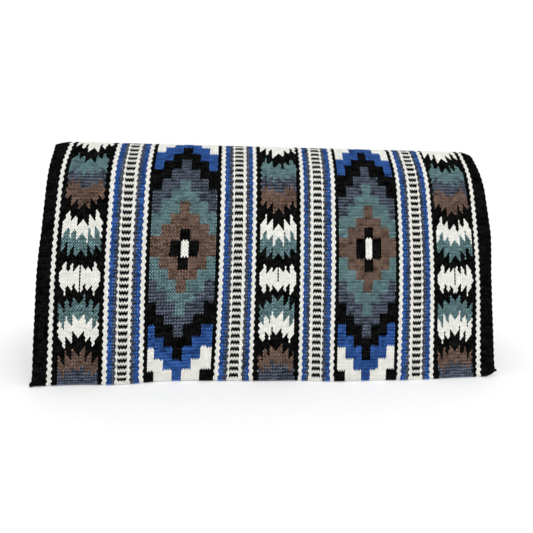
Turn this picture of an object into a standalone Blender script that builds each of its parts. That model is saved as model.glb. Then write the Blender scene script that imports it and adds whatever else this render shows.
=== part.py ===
"""Woven wool saddle blanket, hanging over its ridge line with a drop at the front and one at the back.

Metres, +Z up, X along the ridge, the front drop towards -Y. Warps run from hem to hem. Every coloured
band is a strip of weft of its own on the warp ground, and a twined cord closes each hem."""

import math

import bpy
import numpy as np

# The blanket
WIDTH = 0.864
HALF_LENGTH = 0.4825
FACE_THICKNESS = 0.0020
GROUND_THICKNESS = 0.0042
GAP = 0.0003

# How it hangs: the drop's tilt from the vertical, at shares of the way from the ridge to the hem
TILT_DISTANCE_SHARES = (0, 0.0415, 0.0933, 0.1658, 0.2487, 0.3731, 0.5389, 0.7461, 1)
DROP_TILTS_DEG = (90, 47.3, 44.1, 30.4, 21.0, 19.2, 16.1, 14.0, 16.9)
# The slight folds: how far the hem stands forward of the even drop, at shares of the half width
FOLD_PLACE_SHARES = (-1, -0.833, -0.648, -0.463, -0.278, -0.093, 0.093, 0.278, 0.463, 0.648, 0.833, 1)
FOLD_DEPTHS = (0.0033, 0.0003, 0.0025, -0.0077, -0.0057, -0.0015, 0.0006, 0.0066, 0.0056, 0.0071,
               0.0014, -0.0005)
FOLD_FADE_POWER = 1.5
# The warps lean: their sideways shifts at the ridge, halfway down and at the hem, at shares of the
# half width
LEAN_PLACE_SHARES = (-1, -0.926, -0.718, -0.556, -0.259, 0, 0.259, 0.556, 0.718, 0.926, 1)
RIDGE_SHIFTS = (0.0075, 0.0060, 0.0030, 0.0026, 0.0063, 0.0072, 0.0076, 0.0013, -0.0055, -0.0082, -0.0119)
MIDDLE_SHIFTS = (-0.0015, -0.0044, -0.0035, -0.0038, 0.0040, 0.0043, 0.0037, 0.0015, -0.0019, -0.0024,
                 -0.0022)
HEM_SHIFTS = (-0.0080, -0.0068, -0.0052, -0.0063, -0.0067, -0.0001, -0.0040, -0.0101, -0.0105, -0.0073,
              -0.0018)
CENTERING = -(HEM_SHIFTS[0] + HEM_SHIFTS[-1]) / 2
# Nothing holds up the ridge's last stretch at each end, so it droops and flares, left and right
RIDGE_END_LENGTH = 0.0293
END_DROOPS = (0.0075, 0.0097)
END_FLARES = (0.0100, 0.0040)
END_FADE = 0.0265
END_DROOP_POWER = 2.5
END_FLARE_POWER = 2
# One lower corner curls up off the floor
CURL_WIDTH = 0.016
CURL_LENGTH = 0.030
CURL_LIFT = 0.011

# The bands, from the selvedge in to the middle
BORDER_WIDTH = 0.0244
EDGE_LINE_WIDTH = 0.0087
FLAME_BAND_WIDTH = 0.0859
MIDDLE_BAND_WIDTH = 0.0819
LADDER_PARTS = ("guard_outer", "blue_outer", "slate_outer", "rungs", "slate_inner", "blue_inner",
                "guard_inner")
LADDER_WIDTHS = {"outer": (0.0091, 0.0082, 0.0065, 0.0260, 0.0065, 0.0083, 0.0092),
                 "inner": (0.0085, 0.0086, 0.0068, 0.0255, 0.0061, 0.0072, 0.0083)}
DIAMOND_SPLITS = 4
FLAME_SPLITS = 3

# Cells along one drop: places of the loft's sections, as shares of the way from the ridge to the hem
SECTION_SHARES = (0, 0.0145, 0.0311, 0.0539, 0.087, 0.1326, 0.197, 0.28, 0.383, 0.508, 0.642, 0.777, 0.902)

# Hem cords and the knots at their ends
CORD_HEIGHT = 0.0050
CORD_BULGE = 0.0008
KNOT_RADII = (0.0034, 0.0036, 0.0028)
KNOT_SEGMENTS = 14
KNOT_RINGS = 10
SMOOTH_ANGLE = math.radians(40)

CLOTH_THICKNESS = FACE_THICKNESS + GAP + GROUND_THICKNESS
STEPS = 480


def table_curve(at, places, values):
    """A cubic Hermite curve through the table's points, its slopes their central differences."""
    places, values = np.asarray(places, float), np.asarray(values, float)
    slopes = np.gradient(values, places)
    low = np.clip(np.searchsorted(places, at) - 1, 0, len(places) - 2)
    span = places[low + 1] - places[low]
    t = (at - places[low]) / span
    return ((2 * t**3 - 3 * t**2 + 1) * values[low] + (t**3 - 2 * t**2 + t) * span * slopes[low]
            + (3 * t**2 - 2 * t**3) * values[low + 1] + (t**3 - t**2) * span * slopes[low + 1])


def drop_profile():
    """Distances from the ridge, and the drop's tilt, reach and fall there, by summing its direction."""
    along = np.linspace(0, HALF_LENGTH, STEPS + 1)
    tilt = np.radians(table_curve(along / HALF_LENGTH, TILT_DISTANCE_SHARES, DROP_TILTS_DEG))
    step = np.diff(along)
    reach = np.concatenate([[0], np.cumsum((np.sin(tilt[1:]) + np.sin(tilt[:-1])) / 2 * step)])
    fall = np.concatenate([[0], np.cumsum((np.cos(tilt[1:]) + np.cos(tilt[:-1])) / 2 * step)])
    return along, tilt, reach, fall


ALONG, TILT, REACH, FALL = drop_profile()


def lean_shift(edge, share):
    """The sideways shift at a share of the half width and a share of the drop: the parabola through
    the shifts at the ridge, halfway down and at the hem."""
    ridge, middle, hem = (np.interp(edge, LEAN_PLACE_SHARES, row)
                          for row in (RIDGE_SHIFTS, MIDDLE_SHIFTS, HEM_SHIFTS))
    return (ridge * (1 - share) * (1 - 2 * share) + middle * 4 * share * (1 - share)
            + hem * share * (2 * share - 1))


def cloth_point(place, distance, depth):
    """A point of the cloth: place along the width, signed distance from the ridge (the front drop's is
    negative) and depth under the outer face. The drop's profile, offset inward along its normal, then
    moved out by the folds, sideways by the warps' lean, and down and out at the ridge's two ends."""
    place, distance, depth = np.broadcast_arrays(*(np.asarray(v, float) for v in (place, distance, depth)))
    side = np.where(distance > 0, 1.0, -1.0)
    hand = np.where(place > 0, 1.0, -1.0)
    far = np.abs(distance)
    tilt = np.interp(far, ALONG, TILT)
    reach = np.interp(far, ALONG, REACH) - depth * np.cos(tilt)
    height = FALL[-1] - np.interp(far, ALONG, FALL) - depth * np.sin(tilt)
    share = far / HALF_LENGTH
    edge = place / (WIDTH / 2)
    fold = table_curve(edge, FOLD_PLACE_SHARES, FOLD_DEPTHS) * share**FOLD_FADE_POWER
    past = np.clip((np.abs(place) - WIDTH / 2) / RIDGE_END_LENGTH + 1, 0, None)
    fade = np.exp(-far / END_FADE)
    droop = np.where(place > 0, END_DROOPS[1], END_DROOPS[0]) * past**END_DROOP_POWER * fade
    flare = np.where(place > 0, END_FLARES[1], END_FLARES[0]) * past**END_FLARE_POWER * fade
    shift = lean_shift(edge, share) + hand * flare + CENTERING
    curl = (np.clip((place - WIDTH / 2 + CURL_WIDTH) / CURL_WIDTH, 0, None)
            * np.clip((-distance - HALF_LENGTH + CURL_LENGTH) / CURL_LENGTH, 0, None)**2)
    return np.stack([place + shift, side * (reach + fold), height - droop + CURL_LIFT * curl], axis=-1)


def new_object(name, mesh, color, roughness):
    obj = bpy.data.objects.new(name, mesh)
    PART.objects.link(obj)
    material = bpy.data.materials.new(name)
    material.use_nodes = True
    shader = material.node_tree.nodes["Principled BSDF"]
    shader.inputs["Base Color"].default_value = (*color, 1)
    shader.inputs["Roughness"].default_value = roughness
    mesh.materials.append(material)
    return obj


def smooth_body(name, points, faces, color, roughness=0.9):
    """One closed mesh object, smooth but for its rims."""
    mesh = bpy.data.meshes.new(name)
    mesh.from_pydata(np.asarray(points).tolist(), [], faces)
    mesh.polygons.foreach_set("use_smooth", np.ones(len(mesh.polygons), bool))
    mesh.set_sharp_from_angle(angle=SMOOTH_ANGLE)
    return new_object(name, mesh, color, roughness)


def cloth_sheet(name, columns, sections, depth, thickness, color, roughness=0.9):
    """A sheet lofted over columns along the width and sections along the drop, from depth to
    depth + thickness under the blanket's outer face. Every cell of its two faces is cut along the same
    diagonal, so that sheets on top of each other stay parallel; the rim joins the faces."""
    across, along = np.meshgrid(columns, sections)
    points = np.concatenate([cloth_point(across, along, d).reshape(-1, 3) for d in (depth, depth + thickness)])
    row, layer = len(columns), across.size
    index = np.arange(layer).reshape(len(sections), row)
    corner = index[:-1, :-1].reshape(-1)
    outer = np.concatenate([np.stack([corner, corner + 1, corner + row + 1], axis=1),
                            np.stack([corner, corner + row + 1, corner + row], axis=1)])
    rim = np.concatenate([index[0, :-1], index[:-1, -1], index[-1, :0:-1], index[:0:-1, 0]])
    following = np.roll(rim, -1)
    walls = np.stack([rim, rim + layer, following + layer, following], axis=1)
    faces = np.concatenate([outer, outer[:, ::-1] + layer]).tolist() + walls.tolist()
    return smooth_body(name, points, faces, color, roughness)


def loft(name, rings, color, roughness=0.9):
    """Rings of points joined into one closed body."""
    count, size = rings.shape[:2]
    first = (np.arange(count - 1)[:, None] * size + np.arange(size)).reshape(-1)
    turn = (np.arange(count - 1)[:, None] * size + np.roll(np.arange(size), -1)).reshape(-1)
    faces = [tuple(f) for f in np.stack([first, turn, turn + size, first + size], axis=1).tolist()]
    faces.append(tuple(range(size))[::-1])
    faces.append(tuple(range((count - 1) * size, count * size)))
    return smooth_body(name, rings.reshape(-1, 3), faces, color, roughness)


def hem_cord(name, side, columns, color):
    """The twined cord under one hem: its top follows the cloth's slanted end, its underside lies flat on
    the floor, and its two faces bulge."""
    end = side * (HALF_LENGTH - CORD_HEIGHT)
    below = side * HALF_LENGTH
    middle = (end + below) / 2
    x = np.asarray(columns)
    corners = [cloth_point(x, end, 0), cloth_point(x, middle, -CORD_BULGE), cloth_point(x, below, 0),
               cloth_point(x, below, CLOTH_THICKNESS),
               cloth_point(x, middle, CLOTH_THICKNESS + CORD_BULGE),
               cloth_point(x, end, CLOTH_THICKNESS)]
    lift = corners[2][:, 2]
    for corner in corners[2:5]:
        corner[:, 2] = np.maximum(corner[:, 2], lift)
    corners[3][:, 2] = lift
    ring = corners if side < 0 else corners[::-1]
    return loft(name, np.stack(ring, axis=1), color)


def corner_knot(name, side, hand, color):
    """The knotted end of a hem cord, just outside the selvedge: a squashed ball."""
    rim = cloth_point(hand * WIDTH / 2, side * HALF_LENGTH, 0)
    middle = cloth_point(hand * WIDTH / 2, side * HALF_LENGTH, CLOTH_THICKNESS / 2)
    bpy.ops.mesh.primitive_uv_sphere_add(
        segments=KNOT_SEGMENTS, ring_count=KNOT_RINGS, radius=1, scale=KNOT_RADII,
        location=(middle[0] + hand * (KNOT_RADII[0] + GAP), middle[1], rim[2] + KNOT_RADII[2]))
    knot = bpy.context.active_object
    bpy.ops.object.shade_smooth()
    bpy.context.collection.objects.unlink(knot)
    mesh = knot.data
    mesh.transform(knot.matrix_world)
    bpy.data.objects.remove(knot)
    return new_object(name, mesh, color, 0.9)


for old in list(bpy.data.objects):
    bpy.data.objects.remove(old)
PART = bpy.data.collections.new("saddle_blanket")
bpy.context.scene.collection.children.link(PART)

BLACK = (0.012, 0.012, 0.014)
CREAM = (0.80, 0.78, 0.72)
BLUE = (0.030, 0.095, 0.38)
SLATE = (0.075, 0.080, 0.120)
COTTON = (0.25, 0.24, 0.22)
LADDER_COLORS = {"guard": CREAM, "blue": BLUE, "slate": SLATE, "rungs": CREAM}

# Where each band of one half ends, counted in from the selvedge
DIAMOND_WIDTH = (WIDTH / 2 - BORDER_WIDTH - EDGE_LINE_WIDTH - FLAME_BAND_WIDTH
                 - sum(map(sum, LADDER_WIDTHS.values())) - MIDDLE_BAND_WIDTH / 2)


def half_bands():
    """Each band of one half as (name, inner and outer distance from the selvedge, splits, colour)."""
    rows, at = [], 0

    def add(name, width, splits, color):
        nonlocal at
        rows.append((name, at, at + width, splits, color))
        at += width

    def add_ladder(number):
        for part, width in zip(LADDER_PARTS, LADDER_WIDTHS[number]):
            add(f"ladder_{number}_{part}", width, 1, LADDER_COLORS[part.split("_")[0]])

    add("border", BORDER_WIDTH, 1, BLACK)
    add("edge_line", EDGE_LINE_WIDTH, 1, CREAM)
    add("flame_band", FLAME_BAND_WIDTH, FLAME_SPLITS, BLACK)
    add_ladder("outer")
    add("diamond_band", DIAMOND_WIDTH, DIAMOND_SPLITS, BLACK)
    add_ladder("inner")
    return rows


face_end = HALF_LENGTH - CORD_HEIGHT - GAP
drop = np.append(np.array(SECTION_SHARES[1:]) * HALF_LENGTH, face_end)
sections = np.concatenate([-drop[::-1], [0], drop])

ground_columns = {-WIDTH / 2, WIDTH / 2, WIDTH / 2 - CURL_WIDTH, -MIDDLE_BAND_WIDTH / 2, MIDDLE_BAND_WIDTH / 2}
for hand, word in ((-1, "left"), (1, "right")):
    for name, outer, inner, splits, color in half_bands():
        edges = np.linspace(outer, inner, splits + 1)
        if name == "border" and hand > 0:
            edges = np.array([outer, CURL_WIDTH, inner])
        places = hand * (WIDTH / 2 - edges)
        if not name.startswith("ladder") or "guard" in name or "rungs" in name:
            ground_columns.update(places.tolist())
        columns = np.sort(places)
        columns[0] += GAP / 2 if abs(columns[0]) < WIDTH / 2 - GAP else 0
        columns[-1] -= GAP / 2 if abs(columns[-1]) < WIDTH / 2 - GAP else 0
        cloth_sheet(f"{name}_{word}", columns, sections, 0, FACE_THICKNESS, color)

middle_places = np.linspace(-MIDDLE_BAND_WIDTH / 2, MIDDLE_BAND_WIDTH / 2, FLAME_SPLITS + 1)
ground_columns.update(middle_places.tolist())
middle_places[0] += GAP / 2
middle_places[-1] -= GAP / 2
cloth_sheet("flame_band_middle", middle_places, sections, 0, FACE_THICKNESS, BLACK)

kept = []
for place in sorted(ground_columns):
    if not kept or place - kept[-1] > FACE_THICKNESS:
        kept.append(place)
cloth_sheet("warp_ground", kept, sections, FACE_THICKNESS + GAP, GROUND_THICKNESS, COTTON)

for side, word in ((-1, "front"), (1, "back")):
    hem_cord(f"hem_cord_{word}", side, kept, BLACK)
    for hand, hand_word in ((-1, "left"), (1, "right")):
        corner_knot(f"corner_knot_{word}_{hand_word}", side, hand, BLACK)
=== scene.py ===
"""Looks of the woven saddle blanket: every bead of weft modelled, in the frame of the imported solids."""

import math

import bpy
import numpy as np
from mathutils import Matrix, Vector


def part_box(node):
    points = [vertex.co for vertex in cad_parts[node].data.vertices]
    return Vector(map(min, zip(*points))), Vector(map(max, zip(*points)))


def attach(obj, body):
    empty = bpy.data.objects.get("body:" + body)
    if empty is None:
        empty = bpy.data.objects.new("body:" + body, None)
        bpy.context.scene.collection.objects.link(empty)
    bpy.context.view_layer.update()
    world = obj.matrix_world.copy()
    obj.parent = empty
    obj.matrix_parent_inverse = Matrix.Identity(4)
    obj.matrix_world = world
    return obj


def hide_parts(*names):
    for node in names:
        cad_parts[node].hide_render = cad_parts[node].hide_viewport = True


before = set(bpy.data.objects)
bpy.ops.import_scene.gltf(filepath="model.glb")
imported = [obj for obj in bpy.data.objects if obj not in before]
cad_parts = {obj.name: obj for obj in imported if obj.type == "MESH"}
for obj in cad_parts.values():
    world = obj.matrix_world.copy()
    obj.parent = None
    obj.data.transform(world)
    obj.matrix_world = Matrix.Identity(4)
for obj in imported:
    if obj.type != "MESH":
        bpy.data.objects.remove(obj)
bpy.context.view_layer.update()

# The camera stands a little left of the middle, just under the ridge's height, and looks down slightly.
# Its lens, place and turn were found by fitting the blanket's outline and its woven rows.
CAMERA_PLACE = (-0.0740, -0.8594, 0.3678)
CAMERA_YAW, CAMERA_PITCH, CAMERA_ROLL = -0.0814, -0.2103, -0.0197
CAMERA_LENS = 27.0
CAMERA_SENSOR = 36.0
CAMERA_NEAR = 0.01

camera_data = bpy.data.cameras.new("camera")
camera_data.lens = CAMERA_LENS
camera_data.sensor_width = CAMERA_SENSOR
camera_data.sensor_fit = "HORIZONTAL"
camera_data.clip_start = CAMERA_NEAR
camera = bpy.data.objects.new("camera", camera_data)
turn = (Matrix.Rotation(CAMERA_YAW, 3, "Z") @ Matrix.Rotation(CAMERA_PITCH, 3, "X")
        @ Matrix.Rotation(CAMERA_ROLL, 3, "Y"))
right, forward, up = turn.col
facing = Matrix((right, up, -forward)).transposed()
camera.matrix_world = Matrix.Translation(CAMERA_PLACE) @ facing.to_4x4()
bpy.context.scene.collection.objects.link(camera)
bpy.context.scene.camera = camera
bpy.context.scene.view_settings.view_transform = "Standard"

# A plain white floor under a white sky. Both show white to the camera, and the floor keeps the
# blanket's shadow. The sky lights the cloth a little more strongly than it looks, and a wide soft lamp
# above and in front adds form.
SKY_STRENGTH = 1.06
SKY_SHOWN = 1.0
FLOOR_COLOR = (0.96, 0.96, 0.96)
FLOOR_SIZE = 12.0
LAMP_PLACE = Vector((0.7, -2.1, 2.2))
LAMP_AIM = Vector((0, 0, 0.2))
LAMP_SIZE = 2.0
LAMP_POWER = 19.5


def math_node(tree, operation, *values):
    """The output of a new math node, whose inputs are numbers or other nodes' outputs."""
    node = tree.nodes.new("ShaderNodeMath")
    node.operation = operation
    for socket, value in zip(node.inputs, values):
        if isinstance(value, bpy.types.NodeSocket):
            tree.links.new(value, socket)
        else:
            socket.default_value = value
    return node.outputs[0]


world = bpy.data.worlds.new("white_sky")
bpy.context.scene.world = world
world.use_nodes = True
sky_tree = world.node_tree
sky_tree.nodes.clear()
ray = sky_tree.nodes.new("ShaderNodeLightPath")
seen = math_node(sky_tree, "MAXIMUM", ray.outputs["Is Camera Ray"], ray.outputs["Is Glossy Ray"])
seen = math_node(sky_tree, "MAXIMUM", seen, ray.outputs["Is Transmission Ray"])
strength = sky_tree.nodes.new("ShaderNodeMapRange")
strength.inputs["To Min"].default_value = SKY_STRENGTH
strength.inputs["To Max"].default_value = SKY_SHOWN
sky = sky_tree.nodes.new("ShaderNodeBackground")
sky.inputs["Color"].default_value = (1, 1, 1, 1)
sky_out = sky_tree.nodes.new("ShaderNodeOutputWorld")
sky_tree.links.new(seen, strength.inputs["Value"])
sky_tree.links.new(strength.outputs["Result"], sky.inputs["Strength"])
sky_tree.links.new(sky.outputs["Background"], sky_out.inputs["Surface"])

floor_mesh = bpy.data.meshes.new("floor")
half = FLOOR_SIZE / 2
floor_mesh.from_pydata([(-half, -half, 0), (half, -half, 0), (half, half, 0), (-half, half, 0)], [],
                       [(0, 1, 2, 3)])
floor = bpy.data.objects.new("floor", floor_mesh)
bpy.context.scene.collection.objects.link(floor)
floor_material = bpy.data.materials.new("pale_floor")
floor_material.use_nodes = True
floor_shader = floor_material.node_tree.nodes["Principled BSDF"]
floor_shader.inputs["Base Color"].default_value = (*FLOOR_COLOR, 1)
floor_shader.inputs["Roughness"].default_value = 1.0
floor_shader.inputs["Specular IOR Level"].default_value = 0.0
floor_mesh.materials.append(floor_material)

lamp_data = bpy.data.lights.new("key_lamp", "AREA")
lamp_data.size = LAMP_SIZE
lamp_data.energy = LAMP_POWER
lamp = bpy.data.objects.new("key_lamp", lamp_data)
lamp.location = LAMP_PLACE
lamp.rotation_euler = (LAMP_AIM - LAMP_PLACE).to_track_quat("-Z", "Y").to_euler()
bpy.context.scene.collection.objects.link(lamp)

# The hanging cloth. A heavy weft-faced wool blanket hangs over its ridge line with a drop at the front
# and one at the back. It curves over the ridge, straightens down the drops and waves a little at the
# hems, and its warps lean a few millimetres from straight.
WIDTH = 0.864
HALF_LENGTH = 0.4825
THICKNESS = 0.0065
# How far the drop tilts from upright, at shares of its length
TILT_DISTANCE_SHARES = (0, 0.0415, 0.0933, 0.1658, 0.2487, 0.3731, 0.5389, 0.7461, 1)
DROP_TILTS_DEG = (90, 47.3, 44.1, 30.4, 21.0, 19.2, 16.1, 14.0, 16.9)
# How far the hem waves outward at shares of the half width, which fades up the drop
FOLD_PLACE_SHARES = (-1, -0.833, -0.648, -0.463, -0.278, -0.093, 0.093, 0.278, 0.463, 0.648, 0.833, 1)
FOLD_DEPTHS = (0.0033, 0.0003, 0.0025, -0.0077, -0.0057, -0.0015, 0.0006, 0.0066, 0.0056, 0.0071,
               0.0014, -0.0005)
FOLD_FADE_POWER = 1.5
# How far the warps are shifted sideways at the ridge, half way down and at the hem
LEAN_PLACE_SHARES = (-1, -0.926, -0.718, -0.556, -0.259, 0, 0.259, 0.556, 0.718, 0.926, 1)
RIDGE_SHIFTS = (0.0075, 0.0060, 0.0030, 0.0026, 0.0063, 0.0072, 0.0076, 0.0013, -0.0055, -0.0082, -0.0119)
MIDDLE_SHIFTS = (-0.0015, -0.0044, -0.0035, -0.0038, 0.0040, 0.0043, 0.0037, 0.0015, -0.0019, -0.0024,
                 -0.0022)
HEM_SHIFTS = (-0.0080, -0.0068, -0.0052, -0.0063, -0.0067, -0.0001, -0.0040, -0.0101, -0.0105, -0.0073,
              -0.0018)
CENTERING = -(HEM_SHIFTS[0] + HEM_SHIFTS[-1]) / 2
# How far the ridge's ends, left and right, droop and flare outward
RIDGE_END_LENGTH = 0.0293
END_DROOPS = (0.0075, 0.0097)
END_FLARES = (0.0100, 0.0040)
END_FADE = 0.0265
END_DROOP_POWER = 2.5
END_FLARE_POWER = 2
# The front right corner curls up
CURL_WIDTH = 0.016
CURL_LENGTH = 0.030
CURL_LIFT = 0.011
CURL_WIDTH_POWER = 1.8
CURL_LENGTH_POWER = 2
PROFILE_STEPS = 480


def table_curve(at, places, values):
    """A cubic Hermite curve through the table's points, its slopes their central differences."""
    places, values = np.asarray(places, float), np.asarray(values, float)
    slopes = np.gradient(values, places)
    low = np.clip(np.searchsorted(places, at) - 1, 0, len(places) - 2)
    span = places[low + 1] - places[low]
    t = (at - places[low]) / span
    return ((2 * t**3 - 3 * t**2 + 1) * values[low] + (t**3 - 2 * t**2 + t) * span * slopes[low]
            + (3 * t**2 - 2 * t**3) * values[low + 1] + (t**3 - t**2) * span * slopes[low + 1])


ALONG = np.linspace(0, HALF_LENGTH, PROFILE_STEPS + 1)
TILT = np.radians(table_curve(ALONG / HALF_LENGTH, TILT_DISTANCE_SHARES, DROP_TILTS_DEG))
half_steps = np.diff(ALONG) / 2
REACH = np.concatenate([[0], np.cumsum((np.sin(TILT[1:]) + np.sin(TILT[:-1])) * half_steps)])
FALL = np.concatenate([[0], np.cumsum((np.cos(TILT[1:]) + np.cos(TILT[:-1])) * half_steps)])


def lean_shift(edge, share):
    """The warps' sideways shift: the parabola down the drop through the shifts at ridge, middle and hem."""
    ridge, middle, hem = (np.interp(edge, LEAN_PLACE_SHARES, row)
                          for row in (RIDGE_SHIFTS, MIDDLE_SHIFTS, HEM_SHIFTS))
    return (ridge * (1 - share) * (1 - 2 * share) + middle * 4 * share * (1 - share)
            + hem * share * (2 * share - 1))


def cloth_point(place, distance, depth):
    """Place along the width, signed distance from the ridge (front negative) and depth under the outer
    face, to a point: the summed drop profile, offset along its normal, plus the hems' folds, the warps'
    lean, the droop and flare of the ridge's ends and the front right corner's curl."""
    place, distance, depth = np.broadcast_arrays(*(np.asarray(value, float)
                                                   for value in (place, distance, depth)))
    side = np.where(distance > 0, 1.0, -1.0)
    hand = np.where(place > 0, 1.0, -1.0)
    far = np.abs(distance)
    tilt = np.interp(far, ALONG, TILT)
    reach = np.interp(far, ALONG, REACH) - depth * np.cos(tilt)
    height = FALL[-1] - np.interp(far, ALONG, FALL) - depth * np.sin(tilt)
    share = far / HALF_LENGTH
    edge = place / (WIDTH / 2)
    fold = table_curve(edge, FOLD_PLACE_SHARES, FOLD_DEPTHS) * share**FOLD_FADE_POWER
    past = np.clip((np.abs(place) - WIDTH / 2) / RIDGE_END_LENGTH + 1, 0, None)
    fade = np.exp(-far / END_FADE)
    droop = np.where(place > 0, END_DROOPS[1], END_DROOPS[0]) * past**END_DROOP_POWER * fade
    flare = np.where(place > 0, END_FLARES[1], END_FLARES[0]) * past**END_FLARE_POWER * fade
    shift = lean_shift(edge, share) + hand * flare + CENTERING
    curl = (np.clip((place - WIDTH / 2 + CURL_WIDTH) / CURL_WIDTH, 0, None)**CURL_WIDTH_POWER
            * np.clip((-distance - HALF_LENGTH + CURL_LENGTH) / CURL_LENGTH, 0, None)**CURL_LENGTH_POWER)
    return np.stack([place + shift, side * (reach + fold), height - droop + CURL_LIFT * curl], axis=-1)


# The weave. Wool weft beaten down hard over 385 warps hides them. Each pick shows as beads on every
# other warp, each bead two picks tall, so the beads lie like staggered bricks. The strips of colour,
# counted from a selvedge to the middle, are given by their warps and by their widths.
STRIPS = (("border", 11, 0.0231), ("edge_line", 4, 0.00725), ("serrate", 38, 0.0872),
          ("guard", 4, 0.0077), ("blue", 4, 0.00925), ("slate", 3, 0.0065), ("rungs", 11, 0.0260),
          ("slate", 3, 0.0065), ("blue", 4, 0.00955), ("guard", 4, 0.00705), ("diamond", 56, 0.12905),
          ("guard", 4, 0.00745), ("blue", 4, 0.00875), ("slate", 3, 0.0068), ("rungs", 11, 0.0255),
          ("slate", 3, 0.0061), ("blue", 3, 0.0070), ("guard", 4, 0.0065), ("half_middle", 18, 0.04295))
OUTER_LADDER_STRIPS = STRIPS[3:10]
DIAMOND_STRIP = 10
INNER_LADDER_STRIPS = STRIPS[11:18]
LAST_WARP = 2 * sum(warps for _, warps, _ in STRIPS)
LAST_PICK = 157
# The picks after which rungs, dovetailed joints and turned wefts repeat
PERIOD_PICKS = 4
SELVEDGE_ROUND = 0.0018
# How wide a warp that two colours turn round stays, as a share of its strip's others
SHARED_WARP_SHARE = 0.80
# The stepped diamonds' steps, out from their band's middle: the warps and places where they end
STEP_WARPS = (3.5, 10.5, 17.5, 24.5)
STEP_HALF_WIDTHS = (0.0091, 0.0254, 0.0417, 0.0574)
# Where the picks lie: the distances from the ridge of some of them
PICK_NUMBERS = (0, 6.5, 20, 34, 44.5, 66.5, 82.5, 112, 118.5, 124.5, 131.5, 145, 157)
PICK_DISTANCES = (0, 0.0185, 0.0564, 0.0971, 0.1310, 0.2008, 0.2505, 0.3411, 0.3604, 0.3782, 0.4000,
                  0.4410, 0.4775)
# The outer thirds' picks lie a little lower than the middle's, on the left (-1) and on the right (1)
SLACK_DISTANCES = (0, 0.06, 0.09, 0.12, 0.16, 0.20, 0.25, 0.30, 0.34, 0.40, 0.44, 0.46, 0.4775)
SLACK_DROPS = {-1: (0, 0.0004, 0.0022, 0.0022, 0.0016, 0.0018, 0.0025, 0.0029, 0.0039, 0.0048, 0.0046,
                    0.0038, 0),
               1: (0, 0.0004, 0.0026, 0.0024, 0.0006, -0.0006, -0.0005, 0.0005, 0.0012, 0.0014, 0.0016,
                   0.0017, 0)}
SLACK_FROM, SLACK_TO = 0.10, 0.27

# The outer face has two cells a warp and two a pick
CELL = 0.5
BEAD_RELIEF = 0.0011
BEAD_PROUD = 0.0004
BEAD_FULLNESS = 0.45
FURROW_SHARE = 0.28
BEAD_BULGE = 0.20
UNDER_RELIEF = 0.0007
SCALLOP = 0.0012
SCALLOP_MEAN_SHARE = 0.62
SCALLOP_START = 1.5
BEND_DEGREES = (-45, 0, 45)
# The ladders' black beads, in picks: where in each period the even warps' beads have their middles,
# where the rung has, how far its two rows of beads lean together, how far each spreads, and what
# share of their narrowing they lose
RUNG_FIRST = 2
RUNG_MIDDLE = RUNG_FIRST + 0.5
RUNG_LEAN = 0.70
RUNG_SPREAD = 0.13
RUNG_BLUNTNESS = 0.50
# How far the left (-1) and the right (1) selvedge swell outward on their way down, fading across the
# black border
SWELL_DISTANCES = (0.06, 0.10, 0.14, 0.20, 0.24, 0.28, 0.34, 0.40, 0.45, 0.468, 0.478)
SWELLS = {-1: (0, 0, 0, 0.0004, 0.0022, 0.0030, 0.0023, 0.0021, 0.0008, 0.0008, 0.0046),
          1: (0, 0.0024, 0.0032, 0.0053, 0.0030, 0.0003, 0, 0.0010, 0.0014, 0.0018, 0.0040)}
SWELL_WARPS = 11

counts = np.cumsum([0] + [warps for _, warps, _ in STRIPS])
reaches = np.cumsum([-WIDTH / 2 + SELVEDGE_ROUND] + [width for _, _, width in STRIPS])
pitches = np.diff(reaches) / np.diff(counts)
shared_half = SHARED_WARP_SHARE / 2
DIAMOND_MIDDLE = counts[DIAMOND_STRIP:DIAMOND_STRIP + 2].sum() // 2
diamond_place = reaches[DIAMOND_STRIP:DIAMOND_STRIP + 2].sum() / 2
half_warps = np.concatenate([counts, counts[1:-1] - 0.5, counts[1:-1] + 0.5,
                             DIAMOND_MIDDLE - np.array(STEP_WARPS), DIAMOND_MIDDLE + np.array(STEP_WARPS)])
half_places = np.concatenate([reaches, reaches[1:-1] - shared_half * pitches[:-1],
                              reaches[1:-1] + shared_half * pitches[1:],
                              diamond_place - np.array(STEP_HALF_WIDTHS),
                              diamond_place + np.array(STEP_HALF_WIDTHS)])
order = np.argsort(half_warps)
WARP_TABLE = np.concatenate([half_warps[order], LAST_WARP - half_warps[order][-2::-1]])
PLACE_TABLE = np.concatenate([half_places[order], -half_places[order][-2::-1]])


def warp_place(warp):
    """The place along the width of a warp number: the strips' widths shared by their warps, of which the
    ones that two colours turn round are squeezed narrower."""
    return np.interp(warp, WARP_TABLE, PLACE_TABLE)


def pick_distance(pick, place):
    """The signed distance from the ridge of a pick: the table of beaten rows, plus its third's slack."""
    far = np.interp(np.abs(pick), PICK_NUMBERS, PICK_DISTANCES)
    slack = 0
    for hand, drops in SLACK_DROPS.items():
        outward = np.clip((hand * place - SLACK_FROM) / (SLACK_TO - SLACK_FROM), 0, 1)
        slack = slack + np.interp(far, SLACK_DISTANCES, drops) * outward
    return np.sign(pick) * (far + slack)


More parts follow.
